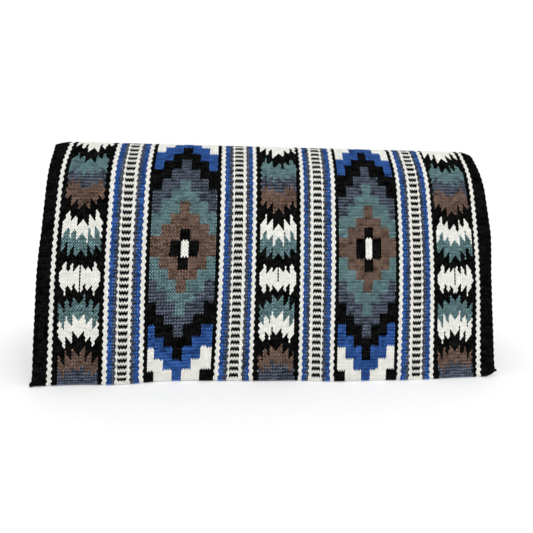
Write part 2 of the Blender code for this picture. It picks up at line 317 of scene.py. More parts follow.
# Dyed yarns: colour of a bead's crest, how much painted shade darkens its ends and furrows, how far
# lengths of it vary, how heathered the wool is, and how much darker every second row of its beads is
YARNS = {"black": ((0.0106, 0.0112, 0.0106), 0.96, 0.65, 0.90, 0.35),
         "cream": ((0.965, 0.960, 0.890), 0.38, 0.07, 0.14, 0.06),
         "blue": ((0.082, 0.238, 0.790), 0.90, 0.28, 0.60, 0.58),
         "teal": ((0.275, 0.472, 0.495), 0.90, 0.22, 0.70, 0.42),
         "brown": ((0.338, 0.217, 0.165), 0.90, 0.26, 0.75, 0.40),
         "slate": ((0.220, 0.260, 0.350), 0.90, 0.32, 0.70, 0.80)}
BLACK, CREAM, BLUE, TEAL, BROWN, SLATE = range(len(YARNS))
YARN_COLORS, YARN_PAINTED_SHADES, YARN_VARIES, YARN_HEATHER, YARN_ROWS = (
    np.array(column) for column in zip(*YARNS.values()))
# How much painted shade darkens odd warps' beads, how far luck moves the dark rows, and how much light
# the furrows and the lining and rims get as painted shade in their colour, where a bead's crest gets one
ODD_SHADE = 0.12
ROW_SLIP = 0.6
FURROW_LIGHT = 0.08
RIM_LIGHT = 0.6
# A bead shares half of its luck with the next one of its pick, two warps on
LUCK_SEED = 11
LUCK_LIMIT = 2
LUCK_MARGIN = 2
BEAD_WARPS = 2
luck_size = (LAST_WARP + 1 + BEAD_WARPS, 2 * (LAST_PICK + LUCK_MARGIN) + 1)
lengths = np.random.default_rng(LUCK_SEED).normal(size=luck_size).clip(-LUCK_LIMIT, LUCK_LIMIT)
bead_luck = (lengths[:-BEAD_WARPS] + lengths[BEAD_WARPS:]) / math.sqrt(2)


def bead_color(warp, pick, yarn, row, light):
    """Colour and heather of corners: the yarn's own, times its length's luck and a painted shade that grows
    as the light share falls from one. Every second row is darker by a raised cosine, now and then out
    of step: most in the slate yarn, which is plied of a light and a dark strand. Odd warps' beads get a
    little painted shade too, so they are a little darker than even ones."""
    luck = bead_luck[warp.astype(int), pick.astype(int) + LAST_PICK + LUCK_MARGIN]
    strand = 1 - YARN_ROWS[yarn] * (0.5 - 0.5 * np.cos(math.pi * row + ROW_SLIP * luck))
    level = ((1 + YARN_VARIES[yarn] * luck) * strand * (1 - YARN_PAINTED_SHADES[yarn] * (1 - light))
             * (1 - ODD_SHADE * YARN_PAINTED_SHADES[yarn] * (warp % 2)))
    return np.concatenate([YARN_COLORS[yarn] * level[..., None], YARN_HEATHER[yarn][..., None]], axis=-1)


def zipper(first, first_at, second, second_at):
    """Triangles between two lines of points: each edge of one joins the other's nearest point."""
    middle = (first_at[1:] + first_at[:-1]) / 2
    near = np.searchsorted((second_at[1:] + second_at[:-1]) / 2, middle)
    turn_at = np.searchsorted(near, np.arange(len(second) - 1), side="right")
    return np.concatenate([np.stack([first[:-1], first[1:], second[near]], axis=1),
                           np.stack([first[turn_at], second[1:], second[:-1]], axis=1)])


def grid_quads(index):
    """The four corners of each cell of a grid, which go along its row first."""
    return np.stack([index[:-1, :-1], index[:-1, 1:], index[1:, 1:], index[1:, :-1]], axis=-1).reshape(-1, 4)


def add_mesh(name, points, parts, colors, map_at, material):
    """One mesh object from face arrays of equal or unlike corner counts, with its corner colours and
    its map of corner places, through which the finish can be baked."""
    mesh = bpy.data.meshes.new(name)
    loops = np.concatenate([part.reshape(-1) for part in parts])
    sizes = np.concatenate([np.full(len(part), part.shape[1]) for part in parts])
    mesh.vertices.add(len(points))
    mesh.vertices.foreach_set("co", points.astype(np.float32).reshape(-1))
    mesh.loops.add(len(loops))
    mesh.loops.foreach_set("vertex_index", loops.astype(np.int32))
    mesh.polygons.add(len(sizes))
    mesh.polygons.foreach_set("loop_start", np.concatenate([[0], np.cumsum(sizes)[:-1]]).astype(np.int32))
    mesh.update(calc_edges=True)
    mesh.polygons.foreach_set("use_smooth", np.ones(len(sizes), bool))
    paint = mesh.color_attributes.new("yarn", "FLOAT_COLOR", "CORNER")
    paint.data.foreach_set("color", colors.astype(np.float32).reshape(-1))
    layer = mesh.uv_layers.new(name="OFBake")
    layer.uv.foreach_set("vector", map_at.astype(np.float32).reshape(-1))
    mesh.materials.append(material)
    mesh.validate()
    piece = bpy.data.objects.new(name, mesh)
    bpy.context.scene.collection.objects.link(piece)
    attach(piece, "root")
    return piece


# The boxes of a band's map for its bake: corner, width and height. The faces of the two drops lie side
# by side, the linings beside them, and the rims in narrow strips round those.
MAP_BOXES = {"face": (0.005, 0.03, 0.73, 0.94), "lining": (0.745, 0.03, 0.20, 0.94),
             "left": (0.955, 0.03, 0.015, 0.94), "right": (0.98, 0.03, 0.015, 0.94),
             "front_hem": (0.005, 0.005, 0.73, 0.015), "back_hem": (0.005, 0.98, 0.73, 0.015),
             "front_cap": (0.75, 0.005, 0.05, 0.015), "back_cap": (0.75, 0.98, 0.05, 0.015)}
MAP_GUTTER = 0.006


def map_place(kind, shares):
    """The map's places of faces of a kind from their corners' shares of the way along the warps' count,
    the rows' count and the depth. A cap is laid as a half round over its depth."""
    left, bottom, wide, tall = MAP_BOXES[kind]
    warp_share, row_share, depth_share = np.moveaxis(shares, -1, 0)
    if kind in ("face", "lining"):
        drop = row_share.mean(axis=1, keepdims=True) > 0.5
        across = (drop + MAP_GUTTER + (1 - 2 * MAP_GUTTER) * warp_share) / 2
        along = np.abs(2 * row_share - 1)
    elif kind in ("left", "right"):
        across, along = depth_share, row_share
    elif kind in ("front_hem", "back_hem"):
        across, along = warp_share, depth_share
    else:
        across, along = depth_share, np.sin(math.pi * depth_share)
    return np.stack([left + wide * across, bottom + tall * along], axis=-1).reshape(-1, 2)


def edge_offset(warp, pick, edge):
    """Sideways offset near a selvedge: its swell, fading across the border, and on its last warp the
    turned wefts' round lobes, one period long, the sine's absolute value."""
    hand = 1 if edge > 0 else -1
    inward = np.abs(warp - edge)
    far = np.interp(np.abs(pick), PICK_NUMBERS, PICK_DISTANCES)
    swell = np.interp(far, SWELL_DISTANCES, SWELLS[hand]) * np.clip(1 - inward / SWELL_WARPS, 0, 1)
    lobe = SCALLOP * (np.abs(np.sin(math.pi * (pick - SCALLOP_START) / PERIOD_PICKS)) - SCALLOP_MEAN_SHARE)
    return hand * (swell + lobe * np.clip(1 - inward, 0, 1))


def rung_stretch(warp, row):
    """How many picks further on the rows by the rungs lie: even and odd warps' black beads lean toward
    each other by a raised cosine about the rung's middle, and each spreads by a sine about its own."""
    far = np.abs(row)
    wave = 2 * math.pi / PERIOD_PICKS
    lean = RUNG_LEAN * (0.5 + 0.5 * np.cos(wave * (far - RUNG_MIDDLE)))
    shifts = [lean * (1 - 2 * (side % 2)) + RUNG_SPREAD * np.sin(wave * (far - RUNG_FIRST - side % 2))
              for side in (np.floor(warp), np.ceil(warp))]
    return np.sign(row) * (shifts[0] + shifts[1]) / 2


def oval_sway(warp, row):
    """How many warps sideways a line of points goes: by a cosine along the rows between two warps, so
    that each bead is an oval, and not at all on a warp."""
    on_warp = np.abs(warp - np.round(warp)) < CELL / 2
    return np.where(on_warp, 0, BEAD_BULGE * np.cos(math.pi * (row - np.floor(warp))))


def band_colors(parts, weave_at, light, first, last, yarn_of):
    """The colour of each corner, with its painted shade. The outer cells, which are the first part, take
    their bead's, and the rest the nearest warp's, darkened by the rims' painted shade."""
    cells = parts[0]
    middle = weave_at[cells].mean(axis=1)
    cell_warp = np.clip(np.floor(middle[:, 0] + 0.5), math.ceil(first), math.floor(last))
    cell_pick = cell_warp + 2 * np.round((middle[:, 1] - cell_warp) / 2)
    bead = [np.broadcast_to(value[:, None], cells.shape)
            for value in (cell_warp, cell_pick, yarn_of(cell_warp, cell_pick))]
    outer_colors = bead_color(*bead, weave_at[cells][..., 1], light.reshape(-1)[cells])
    rest = np.concatenate([part.reshape(-1) for part in parts[1:]])
    near_warp = np.clip(np.round(weave_at[rest, 0]), math.ceil(first), math.floor(last))
    near_pick = np.round(weave_at[rest, 1])
    rest_colors = bead_color(near_warp, near_pick, yarn_of(near_warp, near_pick), weave_at[rest, 1],
                             np.full(len(rest), RIM_LIGHT))
    return np.concatenate([outer_colors.reshape(-1, 4), rest_colors])


# The bands made so far, by first warp, last warp and yarn function, for the hem cords' colours
BANDS = []


def woven_band(name, first, last, yarn_of, material, edge=None, loose_of=None):
    """A strip of cloth from warp number first to last, which are halves inside the cloth and whole at a
    selvedge. On the outer face a warp's line rises by a power of the raised cosine along its beads, and
    the line between two warps keeps the furrow's height and weaves sideways. Where loose_of is one, the
    beads lean and spread as the rungs' do and end blunter. The lining face has one cell a warp and a
    pick. At a selvedge the wefts turn round from face to lining."""
    warps = np.arange(first, last + CELL / 2, CELL)
    rows = np.arange(-LAST_PICK, LAST_PICK + CELL / 2, CELL)
    warp, row = np.meshgrid(warps, rows)
    on_warp = np.abs(warp - np.round(warp)) < CELL / 2
    swell = (0.5 + 0.5 * np.cos(math.pi * (row - warp))).clip(0, 1)
    height = np.where(on_warp, swell**BEAD_FULLNESS, FURROW_SHARE)
    # The share of light painted into the colour as shade: full on a bead's crest, less toward its ends,
    # little in the furrows
    light = np.where(on_warp, swell, FURROW_LIGHT)
    sway = oval_sway(warp, row)
    stretch = 0
    if loose_of is not None:
        loose = loose_of(warp)
        sway = sway * (1 - RUNG_BLUNTNESS * loose)
        stretch = loose * rung_stretch(warp, row)
    place = warp_place(warp + sway)
    if edge is not None:
        place = place + edge_offset(warp, row, edge)
    distance = pick_distance(row + stretch, place)
    outer = cloth_point(place, distance, BEAD_RELIEF * (1 - height) - BEAD_PROUD)

    lining_warps = np.unique(np.concatenate([[first], np.arange(math.ceil(first), last + CELL / 2), [last]]))
    lining_rows = np.arange(-LAST_PICK, LAST_PICK + CELL)
    under_warp, under_row = np.meshgrid(lining_warps, lining_rows)
    under_height = 0.5 - 0.5 * np.cos(math.pi * (under_row - np.round(under_warp)))
    under_place = warp_place(under_warp + oval_sway(under_warp, under_row))
    if edge is not None:
        under_place = under_place + edge_offset(under_warp, under_row, edge)
    lining = cloth_point(under_place, pick_distance(under_row, under_place),
                         THICKNESS - UNDER_RELIEF * (1 - under_height))

    outer_index = np.arange(warp.size).reshape(warp.shape)
    lining_index = np.arange(under_warp.size).reshape(under_warp.shape) + warp.size
    points = [outer.reshape(-1, 3), lining.reshape(-1, 3)]
    weave_at = [np.stack([warp, row, 0 * warp], axis=-1).reshape(-1, 3),
                np.stack([under_warp, under_row, 0 * under_warp + 1], axis=-1).reshape(-1, 3)]
    sides = {0: (outer_index[:, 0], lining_index[:, 0]), -1: (outer_index[:, -1], lining_index[:, -1])}
    turned = []
    caps = []
    if edge is not None:
        # the turned wefts round the selvedge: three more lines of points from face to lining
        column = 0 if edge == first else -1
        hand = np.sign(edge - LAST_WARP / 2)
        bend = np.radians(BEND_DEGREES)
        bend_place = place[:, column, None] + hand * SELVEDGE_ROUND * np.cos(bend)
        bend_depth = THICKNESS * (0.5 + 0.5 * np.sin(bend)) + 0 * bend_place
        bent = cloth_point(bend_place, pick_distance(rows[:, None], bend_place), bend_depth)
        bent_index = warp.size + under_warp.size + np.arange(bend_place.size).reshape(bend_place.shape)
        points.append(bent.reshape(-1, 3))
        weave_at.append(np.stack(np.broadcast_arrays(edge, rows[:, None], bend_depth / THICKNESS),
                                 axis=-1).reshape(-1, 3))
        turned_quads = grid_quads(np.concatenate([outer_index[:, [column]], bent_index], axis=1))
        turned = [("left", turned_quads[:, ::-1]) if column == 0 else ("right", turned_quads)]
        sides[column] = (bent_index[:, -1], lining_index[:, column])
        for kind, end in (("front_cap", 0), ("back_cap", -1)):
            rim = np.concatenate([[outer_index[end, column]], bent_index[end], [lining_index[end, column]]])
            cap = np.stack([np.full(len(rim) - 2, rim[0]), rim[1:-1], rim[2:]], axis=1)
            caps.append((kind, cap if (end == 0) == (column == 0) else cap[:, ::-1]))
    left_wall = zipper(sides[0][0], rows, sides[0][1], lining_rows)
    right_wall = zipper(sides[-1][0], rows, sides[-1][1], lining_rows)[:, ::-1]
    front_hem = zipper(outer_index[0], warps, lining_index[0], lining_warps)[:, ::-1]
    back_hem = zipper(outer_index[-1], warps, lining_index[-1], lining_warps)
    kinds, parts = zip(("face", grid_quads(outer_index)), ("lining", grid_quads(lining_index)[:, ::-1]),
                       *turned, ("left", left_wall), ("right", right_wall),
                       ("front_hem", front_hem), ("back_hem", back_hem), *caps)
    weave_at = np.concatenate(weave_at)
    shares = (weave_at - (first, -LAST_PICK, 0)) / (last - first, 2 * LAST_PICK, 1)
    map_at = np.concatenate([map_place(kind, shares[part]) for kind, part in zip(kinds, parts)])
    colors = band_colors(parts, weave_at, light, first, last, yarn_of)
    piece = add_mesh(name, np.concatenate(points), parts, colors, map_at, material)
    width = float(warp_place(last) - warp_place(first)) + (SELVEDGE_ROUND if edge is not None else 0)
    BANDS.append((first, last, yarn_of))
    return piece


# The wool, seen close: its fibres run mostly along the wefts, lighter and darker ones are mixed before
# the spinning, and some stand off the yarn as fuzz.
FIBRE_STRETCH = (0.45, 1, 1)
FIBRE_SCALE, FIBRE_DETAIL = 1300, 3
LOT_SCALE, LOT_DETAIL = 700, 2
BOTH_NOISES_MEAN = 1.0
HEATHER_GAIN = 5.0
WOOL_ROUGHNESS = 0.92
WOOL_SHINE = 0.02
FUZZ_HEIGHT = 0.00016
FUZZ_STRENGTH = 0.6


def spun_wool():
    """A group that lightens and darkens a yarn's colour by its fibres, as heathered as it is told, and
    gives the fibres' height. The colour is scaled by one plus the gain times the heather times the swing
    of two summed noises about their mean."""
    group = bpy.data.node_groups.new("spun_wool", "ShaderNodeTree")
    for label, kind in (("Color", "NodeSocketColor"), ("Heather", "NodeSocketFloat")):
        group.interface.new_socket(label, in_out="INPUT", socket_type=kind)
    for label, kind in (("Color", "NodeSocketColor"), ("Height", "NodeSocketFloat")):
        group.interface.new_socket(label, in_out="OUTPUT", socket_type=kind)
    nodes, links = group.nodes, group.links
    given, out = nodes.new("NodeGroupInput"), nodes.new("NodeGroupOutput")
    where = nodes.new("ShaderNodeTexCoord")
    stretch = nodes.new("ShaderNodeMapping")
    stretch.inputs["Scale"].default_value = FIBRE_STRETCH
    links.new(where.outputs["Object"], stretch.inputs["Vector"])
    noises = []
    for scale, detail in ((FIBRE_SCALE, FIBRE_DETAIL), (LOT_SCALE, LOT_DETAIL)):
        noise = nodes.new("ShaderNodeTexNoise")
        noise.inputs["Scale"].default_value = scale
        noise.inputs["Detail"].default_value = detail
        links.new(stretch.outputs["Vector"], noise.inputs["Vector"])
        noises.append(noise.outputs["Fac"])
    swing = math_node(group, "SUBTRACT", math_node(group, "ADD", *noises), BOTH_NOISES_MEAN)
    amount = math_node(group, "MULTIPLY", swing, given.outputs["Heather"])
    tint = nodes.new("ShaderNodeVectorMath")
    tint.operation = "SCALE"
    links.new(given.outputs["Color"], tint.inputs[0])
    links.new(math_node(group, "MULTIPLY_ADD", amount, HEATHER_GAIN, 1), tint.inputs["Scale"])
    links.new(tint.outputs["Vector"], out.inputs["Color"])
    links.new(noises[0], out.inputs["Height"])
    return group


SPUN_WOOL = spun_wool()


def wool(name):
    """Matt wool in the mesh's own yarn colours, with the spun group's fibres in colour and height."""
    material = bpy.data.materials.new(name)
    material.use_nodes = True
    nodes, links = material.node_tree.nodes, material.node_tree.links
    shader = nodes["Principled BSDF"]
    shader.inputs["Roughness"].default_value = WOOL_ROUGHNESS
    shader.inputs["Specular IOR Level"].default_value = WOOL_SHINE
    yarn = nodes.new("ShaderNodeAttribute")
    yarn.attribute_name = "yarn"
    spun = nodes.new("ShaderNodeGroup")
    spun.node_tree = SPUN_WOOL
    bump = nodes.new("ShaderNodeBump")
    bump.inputs["Distance"].default_value = FUZZ_HEIGHT
    bump.inputs["Strength"].default_value = FUZZ_STRENGTH
    links.new(yarn.outputs["Color"], spun.inputs["Color"])
    links.new(yarn.outputs["Alpha"], spun.inputs["Heather"])
    links.new(spun.outputs["Color"], shader.inputs["Base Color"])
    links.new(spun.outputs["Height"], bump.inputs["Height"])
    links.new(bump.outputs["Normal"], shader.inputs["Normal"])
    return material


def opens(pick):
    """True on the half of each period's picks in which a joint between colours steps outward."""
    return np.abs(pick) % PERIOD_PICKS < PERIOD_PICKS / 2


def inward_warp(warp):
    """The warp's number counted in from the nearer selvedge."""
    return np.minimum(warp, LAST_WARP - warp)


# The selvedge bands: a black border whose wefts turn round the outermost warp in scallops, and the
# cream edge line that is dovetailed into it.
BORDER_WARPS, EDGE_LINE_WARPS, SERRATE_WARPS = (warps for _, warps, _ in STRIPS[:3])
SERRATE_FROM = BORDER_WARPS + EDGE_LINE_WARPS
# A band's edge inside the cloth lies between two warps
BETWEEN = 0.5
WOOL_BORDER = wool("border_wool")


def selvedge_yarn(warp, pick):
    """Cream between the two joints, each of which gives its shared warp away by turns."""
    inward = inward_warp(warp)
    from_border = np.where(opens(pick), inward >= BORDER_WARPS, inward > BORDER_WARPS)
    before_serrate = np.where(opens(pick), inward < SERRATE_FROM, inward <= SERRATE_FROM)
    return np.where(from_border & before_serrate, CREAM, BLACK)


for word, first, last, edge in (("left", 0, SERRATE_FROM + BETWEEN, 0),
                                ("right", LAST_WARP - SERRATE_FROM - BETWEEN, LAST_WARP, LAST_WARP)):
    band = woven_band(f"selvedge_band_{word}", first, last, selvedge_yarn, WOOL_BORDER, edge)
    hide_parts(f"border_{word}", f"edge_line_{word}", "warp_ground")

# The three serrate bands: flame-like teeth in cream, teal, slate and brown on black. Each boundary is
# a line of teeth, given by places out from the band's middle warp and by how much lower they lie. The
# teeth lean in or out, and the double cream motif near the middle of each drop is split by a black slit.
PEAKS = ((0, 0), (0.0100, -0.0165), (0.0116, 0.0090), (0.0215, -0.0080), (0.0236, 0.0165),
         (0.0360, -0.0100))
LOW_PEAKS = ((0, 0), (0.0090, -0.0040), (0.0120, 0.0115), (0.0200, 0.0010), (0.0240, 0.0160),
             (0.0360, -0.0030))
NOTCHES = ((0, 0), (0.0107, -0.0160), (0.0120, 0.0085), (0.0227, -0.0100), (0.0242, 0.0160),
           (0.0350, -0.0035))
DEEP_NOTCHES = ((0, 0), (0.0107, -0.0135), (0.0120, 0.0105), (0.0227, -0.0055), (0.0242, 0.0155),
                (0.0350, 0))
DOUBLES = ((0, 0.0255), (0.0025, 0.0255), (0.0110, 0.0090), (0.0125, 0.0265), (0.0222, 0.0090),
           (0.0246, 0.0330), (0.0373, 0.0030))
# Boundaries from the ridge to the hem: distance at the middle warp, teeth, their stretch, yarn before
BOUNDARIES = ((0.0245, DEEP_NOTCHES, -1.05, CREAM), (0.0530, PEAKS, -0.85, BLACK),
              (0.0860, NOTCHES, -0.60, TEAL), (0.1150, LOW_PEAKS, -1.00, SLATE),
              (0.1465, DEEP_NOTCHES, -1.00, BROWN), (0.1760, PEAKS, -1.00, BLACK),
              (0.2050, PEAKS, -0.95, CREAM), (0.2365, NOTCHES, -1.00, TEAL),
              (0.2874, DOUBLES, -1.00, BLACK), (0.2874, DOUBLES, 1.00, CREAM),
              (0.3345, NOTCHES, 1.05, BLACK), (0.3670, NOTCHES, 1.00, TEAL),
              (0.3985, PEAKS, 1.00, CREAM), (0.4295, NOTCHES, 1.00, BLACK),
              (0.4560, PEAKS, 0.70, BROWN))
SERRATE_ORDER = np.array([yarn for *_, yarn in BOUNDARIES] + [SLATE])
SLITS = {"left": (0.258, 0.314), "middle": (0.262, 0.294), "right": (0.262, 0.299)}
SLIT_HALF = 0.0012
# How far a motif's sides step out and in from their line with the dovetailed joints
SIDE_STEP = 0.0006
# Each band was woven a little differently: how much lower its rows lie than the left band's, how far
# its motifs' middles stray to the right, and how wide they reach from there
DRIFT_DISTANCES = (0.04, 0.15, 0.24, 0.29, 0.40)
DRIFTS = {"left": (0, 0, 0, 0, 0), "middle": (0.003, 0.005, 0.005, 0.001, -0.0025),
          "right": (0.007, 0.005, 0.004, 0.002, 0.001)}
MOTIF_DISTANCES = (0.04, 0.12, 0.16, 0.24, 0.285, 0.36, 0.45, 0.47)
STRAYS = {"left": (-0.0002, -0.0002, -0.0004, -0.0004, -0.0004, 0.0002, 0.0012, 0.0009),
          "middle": (0.0008, 0.0008, 0.0002, 0.0002, 0.0003, -0.0009, -0.0012, 0.0008),
          "right": (-0.0012, -0.0008, 0.0012, 0.0014, 0.0008, -0.0004, 0, 0.0032)}
MOTIF_HALVES = {"left": (0.0353, 0.0349, 0.0349, 0.0350, 0.0372, 0.0348, 0.0346, 0.0346),
                "middle": (0.0350, 0.0340, 0.0345, 0.0345, 0.0348, 0.0328, 0.0330, 0.0333),
                "right": (0.0370, 0.0362, 0.0366, 0.0366, 0.0362, 0.0353, 0.0345, 0.0344)}
WOOL_SERRATE = wool("serrate_wool")


def serrate_yarn(middle_warp, word):
    """The yarn function of one band: count the boundaries above a bead, black outside the motifs."""
    slit_from, slit_to = SLITS[word]

    def yarn_of(warp, pick):
        place = warp_place(warp)
        far = np.abs(pick_distance(pick, place))
        stray = np.interp(far, MOTIF_DISTANCES, STRAYS[word])
        wide = (np.interp(far, MOTIF_DISTANCES, MOTIF_HALVES[word])
                + np.where(opens(pick), SIDE_STEP, -SIDE_STEP))
        out = np.abs(place - warp_place(middle_warp) - stray)
        far = far - np.interp(far, DRIFT_DISTANCES, DRIFTS[word])
        passed = np.zeros(warp.shape, int)
        for row, teeth, stretch, _ in BOUNDARIES:
            at, rise = zip(*teeth)
            passed += far > row + stretch * np.interp(out, at, rise)
        slit = (out < SLIT_HALF) & (far > slit_from) & (far < slit_to)
        return np.where(slit | (out > wide), BLACK, SERRATE_ORDER[passed])
    return yarn_of


LADDER_FROM = SERRATE_FROM + SERRATE_WARPS
DIAMOND_FROM = counts[DIAMOND_STRIP]
INNER_LADDER_FROM = counts[DIAMOND_STRIP + 1]
MIDDLE_WARP = LAST_WARP // 2
MIDDLE_FROM = MIDDLE_WARP - STRIPS[-1][1]
serrate_middle = SERRATE_FROM + SERRATE_WARPS // 2
for word, first, last, middle_warp in (
        ("left", SERRATE_FROM, LADDER_FROM, serrate_middle),
        ("middle", MIDDLE_FROM, LAST_WARP - MIDDLE_FROM, MIDDLE_WARP),
        ("right", LAST_WARP - LADDER_FROM, LAST_WARP - SERRATE_FROM, LAST_WARP - serrate_middle)):
    band = woven_band(f"serrate_band_{word}", first + BETWEEN, last - BETWEEN,
                      serrate_yarn(middle_warp, word), WOOL_SERRATE)
    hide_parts(f"flame_band_{word}", "warp_ground")

# The four ladder bands: cream guard, blue, slate, a cream strip with black rungs, slate, blue, guard.
# Every joint is dovetailed in step with the rungs, so that the whole band widens between them.
RUNG_WARPS = 7
JOINT_STEP = 0.25
STRIP_YARNS = {"guard": CREAM, "blue": BLUE, "slate": SLATE, "rungs": CREAM}
WOOL_LADDER = wool("ladder_wool")


def ladder_yarn(start, strips):
    """The yarn function of one ladder band whose strips start at warp number start from the selvedge."""
    ends = start + np.cumsum([0] + [warps for _, warps, _ in strips])
    centre = (ends[0] + ends[-1]) // 2
    yarns = np.array([BLACK] + [STRIP_YARNS[name] for name, _, _ in strips] + [BLACK])

    def yarn_of(warp, pick):
        inward = inward_warp(warp)
        step = np.where(opens(pick), JOINT_STEP, -JOINT_STEP) * np.where(inward < centre, 1, -1)
        yarn = yarns[np.searchsorted(ends, inward + step)]
        rung = ~opens(pick) & (np.abs(inward - centre) <= RUNG_WARPS // 2)
        return np.where(rung, BLACK, yarn)
    return yarn_of


def rung_share(start, strips):
    """The function that is one on the warps that the rungs cross and nothing elsewhere."""
    centre = start + sum(warps for _, warps, _ in strips) // 2
    return lambda warp: (np.abs(inward_warp(warp) - centre) <= RUNG_WARPS / 2).astype(float)


strip_names = [f"{kind}_{side}" for kind in ("guard", "blue", "slate") for side in ("outer", "inner")]
for number, start, strips in (("outer", LADDER_FROM, OUTER_LADDER_STRIPS),
                              ("inner", INNER_LADDER_FROM, INNER_LADDER_STRIPS)):
    stop = start + sum(warps for _, warps, _ in strips)
    for word, first, last in (("left", start, stop), ("right", LAST_WARP - stop, LAST_WARP - start)):
        band = woven_band(f"ladder_band_{number}_{word}", first - BETWEEN, last + BETWEEN,
                          ladder_yarn(start, strips), WOOL_LADDER, loose_of=rung_share(start, strips))
        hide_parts(*(f"ladder_{number}_{strip}_{word}" for strip in strip_names + ["rungs"]),
                    "warp_ground")

# The two diamond bands: stepped diamonds in nested colours round a black cross with a cream eye. The
# steps are seven warps wide, and with every step out from the middle each colour starts a fixed way
# lower and ends the same way higher.
STEP_DROPS = (0, 0.0248, 0.0440, 0.0675)
# By the ridge the blue steps have distances of their own. Down the drop the steps' middle strays
# sideways, in warps
RIDGE_BLUES = {"left": (-0.010, 0.0065, 0.0185, 0.0340), "right": (-0.010, 0.0045, 0.0200, 0.0405)}
STEP_STRAY_DISTANCES = (0.05, 0.233, 0.30, 0.39, 0.47)
STEP_STRAYS = {"left": (0.3, 0.6, -0.6, -2, -1.8), "right": (0.1, 0.9, 0.5, 0.1, -0.4)}
UPPER_ORDER = (BLACK, SLATE, TEAL, BROWN)
UPPER_STARTS = {"left": (0.0100, 0.0520, 0.0960, 0.1410), "right": (0.0150, 0.0605, 0.1005, 0.1435)}
# In the middle step the black starts lower
STEM_STARTS = {"left": 0.019, "right": 0.022}
# The yarns that follow where the colours end again below the cross
LOWER_ORDER = (TEAL, SLATE, BLACK, BLUE, CREAM, BLACK)
LOWER_ENDS = {"left": (0.3160, 0.3585, 0.4000, 0.4430, 0.4850, 0.5270),
              "right": (0.3155, 0.3600, 0.4005, 0.4420, 0.4850, 0.5275)}
# The black cross: where its stem starts, its arms start, its arms end and its stem ends
CROSSES = {"left": (0.1945, 0.2170, 0.2490, 0.2725), "right": (0.1890, 0.2110, 0.2495, 0.2745)}
EYE_HALF_WARPS = 2
EYE_STRAY = 1
WOOL_DIAMOND = wool("diamond_wool")


def diamond_yarn(middle_warp, word):
    """The yarn function of one diamond band: the step a warp lies in, then the colours' rows in it."""
    def yarn_of(warp, pick):
        place = warp_place(warp)
        far = np.abs(pick_distance(pick, place))
        off = warp - middle_warp
        stray = np.round(np.interp(far, STEP_STRAY_DISTANCES, STEP_STRAYS[word]))
        step = np.searchsorted(STEP_WARPS[:-1], np.abs(off - stray))
        drop = np.array(STEP_DROPS)[step]
        yarn = np.where(far >= np.array(RIDGE_BLUES[word])[step], BLUE, CREAM)
        for upper, start in zip(UPPER_ORDER, UPPER_STARTS[word]):
            yarn = np.where(far >= start + drop, upper, yarn)
        yarn = np.where((step == 0) & (yarn == BLACK) & (far < STEM_STARTS[word]), BLUE, yarn)
        for lower, end in zip(LOWER_ORDER, LOWER_ENDS[word]):
            yarn = np.where(far >= end - drop, lower, yarn)
        top, arm_top, arm_low, low = CROSSES[word]
        stem = (step == 0) & (far >= top) & (far < low)
        in_arms = (far >= arm_top) & (far < arm_low)
        yarn = np.where(stem | (step <= 1) & in_arms, BLACK, yarn)
        yarn = np.where((np.abs(off - EYE_STRAY) <= EYE_HALF_WARPS) & in_arms, CREAM, yarn)
        return np.where(np.abs(off) > STEP_WARPS[-1], BLACK, yarn)
    return yarn_of


for word, first, last, middle_warp in (
        ("left", DIAMOND_FROM, INNER_LADDER_FROM, DIAMOND_MIDDLE),
        ("right", LAST_WARP - INNER_LADDER_FROM, LAST_WARP - DIAMOND_FROM, LAST_WARP - DIAMOND_MIDDLE)):
    band = woven_band(f"stepped_diamond_band_{word}", first + BETWEEN, last - BETWEEN,
                      diamond_yarn(middle_warp, word), WOOL_DIAMOND)
    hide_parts(f"diamond_band_{word}", "warp_ground")

# The hem cords: two strands of the bands' own yarns twined round the warp ends under the last pick.
# Each strand is a tube whose centre circles the cord's line as it runs along the hem.
# A strand goes once round in so many warps, and its tube has so many sides and steps a warp
CORD_TWIST_WARPS = 3
STRAND_SIDES = 7
STRAND_STEPS = 4
STRAND_RADIUS = 0.0013
STRAND_SWING = 0.0011
CORD_DEPTH = 0.0026
CORD_LIFT = 0.0014
# The cords' colour gets this share of light as painted shade
CORD_LIGHT = 0.6
CORD_LINE = HALF_LENGTH - CORD_LIFT - STRAND_RADIUS - STRAND_SWING
# On its map a strand lies cut into columns side by side, with the four end caps in a row above them
CORD_COLUMNS = 12
CORD_TUBE_TOP = 0.96
CORD_CAPS = 4
CORD_CAP_RADIUS = 0.015
WOOL_CORD = wool("cord_wool")


